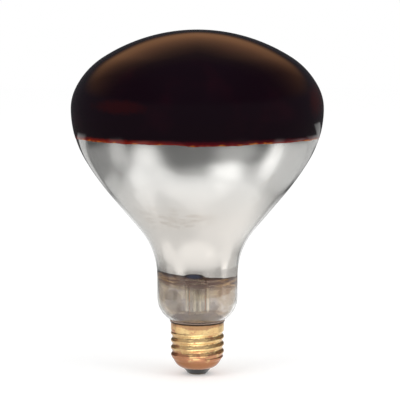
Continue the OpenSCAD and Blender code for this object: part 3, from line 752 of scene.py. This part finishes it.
class HEATLAMP_OT_film(LampOperator):
    """Lay the aluminium film on the inside of the bowl, with a wandering lower edge"""

    bl_idname = "heat_lamp.film"
    bl_label = "Reflector film"

    def execute(self, context):
        b, o = self.bulb, self.outline
        gap, thick, fade = mm(0.03, 0.12, 5.0)
        arcs = o.overlap + o.bowl
        outer = o.points(arcs, -b.wall - gap)
        inner = o.points(arcs, -b.wall - gap - thick)
        piece = turned("reflector_film_laid", outer + inner[::-1] + outer[:1], steps=256)
        edge_z = outer[-1][1]
        for vertex in piece.data.vertices:
            near = 1 - ease((vertex.co.z - edge_z) / fade)
            tilt = -b.film_tilt * vertex.co.x / b.neck_radius
            wander = 0.35 * MM * ripple(vertex.co, 6 * MM, 5.5) + 0.12 * MM * ripple(vertex.co, 1.5 * MM, 1.7)
            vertex.co.z += near * (tilt + wander)
        smooth(piece)
        place(piece, silver_film(b), "silver_film", "reflector_film")
        return {"FINISHED"}


class HEATLAMP_OT_stem(LampOperator):
    """Make the stem's glass: the flare tube with its trumpet mouth, and the exhaust tube"""

    bl_idname = "heat_lamp.stem"
    bl_label = "Glass stem"

    def execute(self, context):
        s, o = self.stem, self.outline
        low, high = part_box("stem_flare")
        mouth = o.tail_r - self.bulb.wall - s.mouth_gap
        turn_out = math.acos(1 - (mouth - s.tube_radius) / s.trumpet_radius)
        tube_low = o.tail_z + s.trumpet_radius * math.sin(turn_out)
        glass = stem_glass(s, "flare_glass", 0.34, tube_low)
        thin = stem_glass(s, "exhaust_glass", 0.15, tube_low)
        trumpet = ((s.tube_radius + s.trumpet_radius, tube_low), s.trumpet_radius, -1)
        outer = [(s.tube_radius, high.z)] + arc(*trumpet, math.pi, math.pi + turn_out, step=0.5 * MM)
        outer += [(o.tail_r, o.tail_z), (o.tail_r, low.z)]
        inner = arc(*trumpet, math.pi, math.pi + turn_out, off=-s.tube_wall, step=0.5 * MM)
        outer += [(inner[-1][0], low.z)]
        bore = [(s.tube_radius - s.tube_wall, high.z)]
        piece = smooth(turned("stem_flare_drawn", joined(outer, inner[::-1], bore, outer[:1]), steps=96))
        place(piece, glass, "stem_glass", "stem_flare")

        low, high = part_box("exhaust_tube")
        r, wall, tip = high.x, s.exhaust_wall, s.exhaust_tip
        turns = [math.pi / 2 * i / 12 for i in range(13)]
        drawn = [(r * math.sin(t), low.z + tip * (1 - math.cos(t))) for t in turns]
        drawn_in = [((r - wall) * math.sin(t), low.z + wall + (tip - wall) * (1 - math.cos(t)))
                    for t in turns]
        outline = joined(drawn, [(r, high.z), (r - wall, high.z)], drawn_in[::-1])
        piece = smooth(turned("exhaust_tube_drawn", outline, steps=64))
        place(piece, thin, "stem_glass", "exhaust_tube")
        dress(glass, "stem_press", "support_cane", "cane_button")
        return {"FINISHED"}


class HEATLAMP_OT_wires(LampOperator):
    """Finish the leads, the supports, the filament and the heat deflector"""

    bl_idname = "heat_lamp.wires"
    bl_label = "Wires and deflector"

    # Finishes: name, clean shade, dull shade, roughness, and the nodes that wear it
    wires = (
        ("copper_wire", (0.78, 0.42, 0.26), (0.48, 0.20, 0.12), 0.22,
         ("seal_wire_left", "seal_wire_right", "contact_lead", "side_lead")),
        ("nickel_wire", (0.66, 0.63, 0.58), (0.48, 0.45, 0.41), 0.25,
         ("inner_lead_left", "inner_lead_right", "deflector_eyelet")),
        ("molybdenum_wire", (0.45, 0.45, 0.47), (0.28, 0.28, 0.30), 0.30,
         [f"support_hook_{i}" for i in range(1, 6)]),
        ("tungsten_coil", (0.26, 0.26, 0.27), (0.14, 0.14, 0.15), 0.35, ("filament",)),
    )

    def execute(self, context):
        for name, clean, dull, roughness, nodes in self.wires:
            dress(metal(name, clean, dull, roughness), *nodes)
        disc = metal("deflector_disc", (0.80, 0.80, 0.80), (0.62, 0.60, 0.57), 0.20, grain=1.2 * MM)
        dress(disc, "heat_deflector")
        return {"FINISHED"}


class HEATLAMP_OT_shell(LampOperator):
    """Roll the brass screw shell, with its helical thread, its plain collar and its rounded foot"""

    bl_idname = "heat_lamp.shell"
    bl_label = "Screw shell"

    def execute(self, context):
        g = self.base
        low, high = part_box("screw_shell")
        foot_z, rim_z = low.z, high.z
        thread_z = foot_z + g.cup_height
        collar_z = rim_z - g.collar_height
        mean = g.thread_radius - g.thread_depth / 2
        centre = (g.lip_radius - g.foot_radius * math.cos(g.lip_slope),
                  foot_z + g.foot_radius * math.sin(g.lip_slope))
        bevel, row = mm(0.12, 0.16)
        count = round((collar_z - thread_z) / row)

        def rings(off):
            foot = arc(centre, g.foot_radius, 1, -g.lip_slope, -g.foot_slope, off, 0.35 * MM)
            step_r, step_z = g.step_radius + off, foot_z + g.step_height
            step = [(step_r, step_z - bevel), (step_r, step_z), (step_r + bevel, step_z + bevel)]
            body = []
            for i in range(count + 1):
                z = thread_z + (collar_z - thread_z) * i / count
                top = ease((z - collar_z + g.thread_fade) / g.thread_fade)
                body.append((mean + (g.collar_radius - mean) * top + off, z))
            collar = [(g.collar_radius + off, collar_z + (rim_z - collar_z) * share)
                      for share in (0.3, 0.6, 0.9, 1.0)]
            return joined(foot, step, body, collar)

        outer = rings(0)
        inner = rings(-g.wall)
        piece = turned("screw_shell_rolled", outer + inner[::-1] + outer[:1], steps=192)
        groove = [0.0] * len(piece.data.vertices)
        for i, vertex in enumerate(piece.data.vertices):
            radius, angle = polar(vertex.co)
            z = vertex.co.z
            shown = ease((z - thread_z) / g.thread_fade)
            shown *= 1 - ease((z - collar_z + g.thread_fade) / g.thread_fade)
            wave = math.cos(2 * math.pi * (z - foot_z - g.thread_start) / g.thread_pitch - angle)
            dent = 0.03 * MM * ripple(vertex.co, 5 * MM, 2.4)
            set_polar(vertex, radius + shown * g.thread_depth / 2 * wave + min(0.0, dent), angle, z)
            groove[i] = shown * (0.5 - 0.5 * wave)
        paint(piece, "groove", groove)
        smooth(piece, 50)
        place(piece, rolled_brass(g, foot_z, rim_z), "brass", "screw_shell")
        return {"FINISHED"}


class HEATLAMP_OT_cement(LampOperator):
    """Finish the basing cement, whose bead's foot carries a painted shadow line on the shell's rim"""

    bl_idname = "heat_lamp.cement"
    bl_label = "Basing cement"

    def execute(self, context):
        inner = self.base.collar_radius - self.base.wall - 0.6 * MM
        dress(baked_cement(inner, self.outline.rim_z), "base_cement")
        return {"FINISHED"}


class HEATLAMP_OT_contact(LampOperator):
    """Finish the black glass insulator, the centre contact and the solder"""

    bl_idname = "heat_lamp.contact"
    bl_label = "Insulator and contact"

    def execute(self, context):
        dress(black_glass(), "base_insulator")
        dress(metal("contact_brass", (0.16, 0.11, 0.06), (0.05, 0.035, 0.025), 0.45), "contact_eyelet")
        solder = metal("dull_solder", (0.55, 0.55, 0.57), (0.32, 0.32, 0.34), 0.3, 1.0 * MM, 0.05 * MM)
        dress(solder, "contact_solder", "side_solder")
        return {"FINISHED"}


class HEATLAMP_OT_studio(LampOperator):
    """Set up the white floor, what the mirrors see, the plain light and the camera"""

    bl_idname = "heat_lamp.studio"
    bl_label = "Studio"

    # Soft-edged sheets that only mirrors and glass see: middle, half size, turn, softness, level
    sheets = (
        ("table", (0.045, 0.04), (0.075, 0.12), 0, 0.6, 0.92),
        ("table_left", (-0.03, 0.05), (0.105, 0.12), 0, 0.15, 0.70),
        ("table_edge", (0.00, -0.065), (0.09, 0.022), 0, 0.2, 1.00),
        ("corner_left", (-0.095, -0.03), (0.035, 0.035), 0, 0.5, 1.05),
        ("front_left", (-0.125, -0.10), (0.042, 0.075), -40, 0.7, 1.05),
        ("front_right", (0.055, -0.08), (0.035, 0.030), 0, 0.7, 1.40),
        ("front_corner", (0.11, -0.14), (0.07, 0.055), 0, 0.6, 0.45),
        ("front", (0.03, -0.17), (0.17, 0.07), 0, 0.4, 0.15),
        ("wedge_right", (0.19, -0.03), (0.09, 0.033), -12, 0.6, 1.35),
        ("field_right", (0.22, 0.12), (0.10, 0.14), -10, 0.25, 0.62),
        ("left", (-0.215, -0.035), (0.09, 0.045), 20, 0.5, 0.60),
        ("left_low", (-0.18, 0.10), (0.11, 0.16), 0, 0.3, 0.27),
        ("beside_left", (-0.13, 0.12), (0.03, 0.10), 0, 0.5, 0.60),
        ("behind", (0.00, 0.32), (0.12, 0.16), 0, 0.2, 0.85),
        ("back_left", (-0.27, 0.42), (0.15, 0.16), 0, 0.3, 0.62),
        ("back_right", (0.27, 0.42), (0.12, 0.20), 0, 0.3, 0.55),
        ("far_right", (0.45, 0.80), (0.20, 0.25), 0, 0.2, 0.60),
    )

    # The glow that the crown mirrors, by degrees from straight behind the lamp
    crown_glow = (
        (0, (0.002, 0.001, 0.001)),
        (16, (0.002, 0.001, 0.001)),
        (24, (0.66, 0.33, 0.155)),
        (31, (0.74, 0.355, 0.17)),
        (41, (0.50, 0.25, 0.13)),
        (51, (0.25, 0.14, 0.08)),
        (60, (0.08, 0.06, 0.045)),
        (75, (0.03, 0.028, 0.036)),
        (180, (0.03, 0.028, 0.036)),
    )

    # How the glow dims to both sides: two X of the ray's way, and the shares of the glow there
    crown_sides = ((-0.65, -0.30, 0.35, 1.0), (0.20, 0.60, 1.0, 0.3))

    # How far the glow is pulled off the outline at the sides, and the Z of the ray's way where it fades in
    crown_pull = 0.55
    crown_rise = (0.24, 0.50)

    # The floor and the plane under it that carries the sheets, in metres, and the plain shades
    floor_size = 8
    sheets_size = 1.6
    sheets_place = (0, 0.2, -0.5 * MM)
    floor_white = (0.86, 0.86, 0.86)
    sheet_white = (1, 1, 0.985, 1)
    mirrored_dark = (0.05, 0.05, 0.055)

    def mirrored(self):
        """The sheets' light, as one glow on a plane just under the floor."""
        f = Finish("mirrored_sheets")
        level = self.studio.dark_level
        for _, middle, half, twist, soft, glow in self.sheets:
            across = f.parts(f.stretched((*half, 1), (*middle, 0), math.radians(twist)))
            sides = [f.between(f.maths("ABSOLUTE", across[axis]), 1 - soft, 1 + soft, 1.0, 0.0)
                     for axis in ("X", "Y")]
            level = f.highest(level, f.product(*sides, glow))
        path = f.node("ShaderNodeLightPath")
        through = f.maths("LESS_THAN", path.outputs["Glossy Depth"], 0.5)
        level = f.maths("ADD", level, f.product(through, f.maths("SUBTRACT", 1.0, level)))
        lighting = f.maths("GREATER_THAN", path.outputs["Diffuse Depth"], 0.5)
        plain = f.maths("SUBTRACT", self.studio.plain_level, level)
        return self.glowing(f, f.maths("ADD", level, f.product(lighting, plain)))

    def glowing(self, f, level):
        """Turn a finish into a plain glow of a level."""
        f.tree.nodes.remove(f.surface)
        glow = f.node("ShaderNodeEmission")
        f.feed(glow.inputs["Strength"], level)
        glow.inputs["Color"].default_value = self.sheet_white
        f.feed(f.tree.nodes["Material Output"].inputs[0], glow.outputs[0])
        return f.material

    def only_mirrored(self, piece):
        """Hide a piece from all but mirrors and glass."""
        piece.visible_camera = piece.visible_diffuse = piece.visible_shadow = False

    def kerb(self):
        """A low white kerb round the front of the lamp."""
        studio = self.studio
        deselect()
        bpy.ops.mesh.primitive_circle_add(vertices=96, radius=studio.kerb_radius)
        kerb = named("mirrored_kerb")
        bpy.ops.object.mode_set(mode="EDIT")
        bpy.ops.mesh.select_all(action="SELECT")
        bpy.ops.mesh.extrude_region_move(TRANSFORM_OT_translate={"value": (0, 0, studio.kerb_height)})
        bpy.ops.mesh.select_all(action="SELECT")
        bpy.ops.mesh.bisect(plane_co=(0, studio.kerb_end, 0), plane_no=(0, 1, 0), clear_outer=True)
        bpy.ops.object.mode_set(mode="OBJECT")
        kerb.data.materials.append(self.glowing(Finish("kerb_glow"), studio.kerb_level))
        self.only_mirrored(kerb)

    def floor(self):
        """The white floor, and the plane of the mirrored sheets under it."""
        deselect()
        bpy.ops.mesh.primitive_plane_add(size=self.floor_size, location=(0, 0, 0))
        floor = named("floor")
        f = Finish("floor_white", Roughness=0.9, Specular_IOR_Level=0.0)
        f.set("Base Color", self.floor_white)
        f.set("Emission Color", (1, 1, 1))
        seen = f.node("ShaderNodeLightPath").outputs["Is Camera Ray"]
        f.set("Emission Strength", f.product(seen, self.studio.floor_glow))
        floor.data.materials.append(f.material)
        floor.visible_glossy = floor.visible_transmission = False
        deselect()
        bpy.ops.mesh.primitive_plane_add(size=self.sheets_size, location=self.sheets_place)
        bpy.ops.object.transform_apply(location=True, rotation=True, scale=True)
        sheet = named("mirrored_sheets")
        sheet.data.materials.append(self.mirrored())
        self.only_mirrored(sheet)

    def world(self, context):
        """White for the camera, plain for the light, and dark with the crown's glow for mirrors."""
        world = bpy.data.worlds.new("studio")
        context.scene.world = world
        world.use_nodes = True
        world.cycles.sampling_method = "NONE"
        world.node_tree.nodes.clear()
        w = Nodes(world.node_tree)
        way = w.parts(w.node("ShaderNodeTexCoord").outputs["Generated"])
        aside = w.product(w.maths("ABSOLUTE", way["X"]), -self.crown_pull)
        back = w.maths("ADD", w.maths("ARCCOSINE", way["Y"]), aside)
        ring = w.node("ShaderNodeValToRGB")
        w.feed(ring.inputs[0], w.maths("DIVIDE", back, math.pi))
        straight, *others, opposite = self.crown_glow
        ring.color_ramp.elements[0].color = (*straight[1], 1)
        ring.color_ramp.elements[1].color = (*opposite[1], 1)
        for degrees, shade in others:
            ring.color_ramp.elements.new(degrees / 180).color = (*shade, 1)
        glow = ring.outputs[0]
        for side in self.crown_sides:
            glow = w.mix(w.between(way["X"], *side, kind="LINEAR"), straight[1], glow)
        mirrored = w.mix(w.between(way["Z"], *self.crown_rise), self.mirrored_dark, glow)
        path = w.node("ShaderNodeLightPath")
        seen = w.mix(w.maths("GREATER_THAN", path.outputs["Glossy Depth"], 0.5), (1, 1, 1), mirrored)
        plain = [self.studio.plain_level] * 3
        lit = w.mix(w.maths("GREATER_THAN", path.outputs["Diffuse Depth"], 0.5), seen, plain)
        background = w.node("ShaderNodeBackground")
        w.feed(background.inputs["Color"], lit)
        w.feed(w.node("ShaderNodeOutputWorld").inputs[0], background.outputs[0])

    def camera(self, context):
        studio = self.studio
        deselect()
        bpy.ops.object.camera_add(
            location=studio.camera_place, rotation=(math.pi / 2 - studio.camera_tilt, 0, 0))
        camera = named("camera")
        camera.data.lens = studio.camera_lens
        camera.data.sensor_width = 36
        camera.data.clip_start = 0.01
        context.scene.camera = camera

    # The pieces that some lamps are kept for
    kept_for = {
        "metal_base": ("screw_shell_rolled", "base_insulator"),
        "neck_glass": ("bulb_glass_blown", "stem_flare_drawn", "exhaust_tube_drawn"),
    }

    # Lamps: place, the point they aim at, size, power, and the pieces that alone take their light
    lights = (
        ("key_left", (-0.9, -0.7, 0.9), (0, 0, 0.09), 0.7, 3.0, None),
        ("key_right", (0.9, -0.5, 0.8), (0, 0, 0.09), 0.7, 3.0, None),
        ("neck_front", (0.15, -0.70, 0.25), (0, 0, 0.04), 0.5, 2.5, "neck_glass"),
        ("base_front", (0.05, -0.60, 0.10), (0, 0, 0.02), 0.60, 0.40, "metal_base"),
        ("base_above", (0.02, -0.40, 0.42), (0, 0, 0.015), 0.75, 0.75, "metal_base"),
        ("base_left", (-0.62, -0.10, 0.55), (0, 0, 0.015), 0.80, 0.80, "metal_base"),
        ("base_right", (0.60, -0.15, 0.55), (0, 0, 0.015), 0.50, 0.20, "metal_base"),
        ("base_glint", (-0.002, -0.034, 0.002), (-0.002, -0.034, 0.1), 0.028, 0.0043, "metal_base"),
    )

    def lamps(self):
        groups = {}
        for group, pieces in self.kept_for.items():
            groups[group] = bpy.data.collections.new(group)
            for name in pieces:
                groups[group].objects.link(bpy.data.objects[name])
        for glass in groups["neck_glass"].objects:
            glass.visible_shadow = False
        for name, stand, aim, size, power, group in self.lights:
            deselect()
            way = Vector(aim) - Vector(stand)
            bpy.ops.object.light_add(
                type="AREA", location=stand, rotation=way.to_track_quat("-Z", "Y").to_euler())
            lamp = named(name)
            lamp.data.size = size
            lamp.data.energy = power
            lamp.visible_glossy = group == "metal_base"
            if group:
                lamp.light_linking.receiver_collection = groups[group]

    def execute(self, context):
        context.scene.view_settings.view_transform = "Standard"
        self.floor()
        self.kerb()
        self.world(context)
        self.lamps()
        self.camera(context)
        return {"FINISHED"}


PIECES = (
    HEATLAMP_OT_bulb, HEATLAMP_OT_coating, HEATLAMP_OT_film, HEATLAMP_OT_stem, HEATLAMP_OT_wires,
    HEATLAMP_OT_shell, HEATLAMP_OT_cement, HEATLAMP_OT_contact, HEATLAMP_OT_studio,
)


class HEATLAMP_PT_sidebar(bpy.types.Panel):
    """Lists the lamp's sizes and the pieces to build"""

    bl_label = "Heat Lamp"
    bl_idname = "HEATLAMP_PT_sidebar"
    bl_space_type = "VIEW_3D"
    bl_region_type = "UI"
    bl_category = "Heat Lamp"

    def draw(self, context):
        for group in GROUPS:
            settings = getattr(context.scene, group)
            box = self.layout.box()
            for key in settings.__annotations__:
                box.prop(settings, key)
        for piece in PIECES:
            self.layout.operator(piece.bl_idname)


GROUPS = {
    "heat_lamp_bulb": HeatLampBulb,
    "heat_lamp_stem": HeatLampStem,
    "heat_lamp_base": HeatLampBase,
    "heat_lamp_studio": HeatLampStudio,
}


def register():
    for group, kind in GROUPS.items():
        bpy.utils.register_class(kind)
        setattr(bpy.types.Scene, group, PointerProperty(type=kind))
    for piece in PIECES:
        bpy.utils.register_class(piece)
    bpy.utils.register_class(HEATLAMP_PT_sidebar)


def unregister():
    bpy.utils.unregister_class(HEATLAMP_PT_sidebar)
    for piece in reversed(PIECES):
        bpy.utils.unregister_class(piece)
    for group, kind in GROUPS.items():
        delattr(bpy.types.Scene, group)
        bpy.utils.unregister_class(kind)


def main():
    register()
    for piece in PIECES:
        family, action = piece.bl_idname.split(".")
        getattr(getattr(bpy.ops, family), action)()


if __name__ == "__main__":
    main()
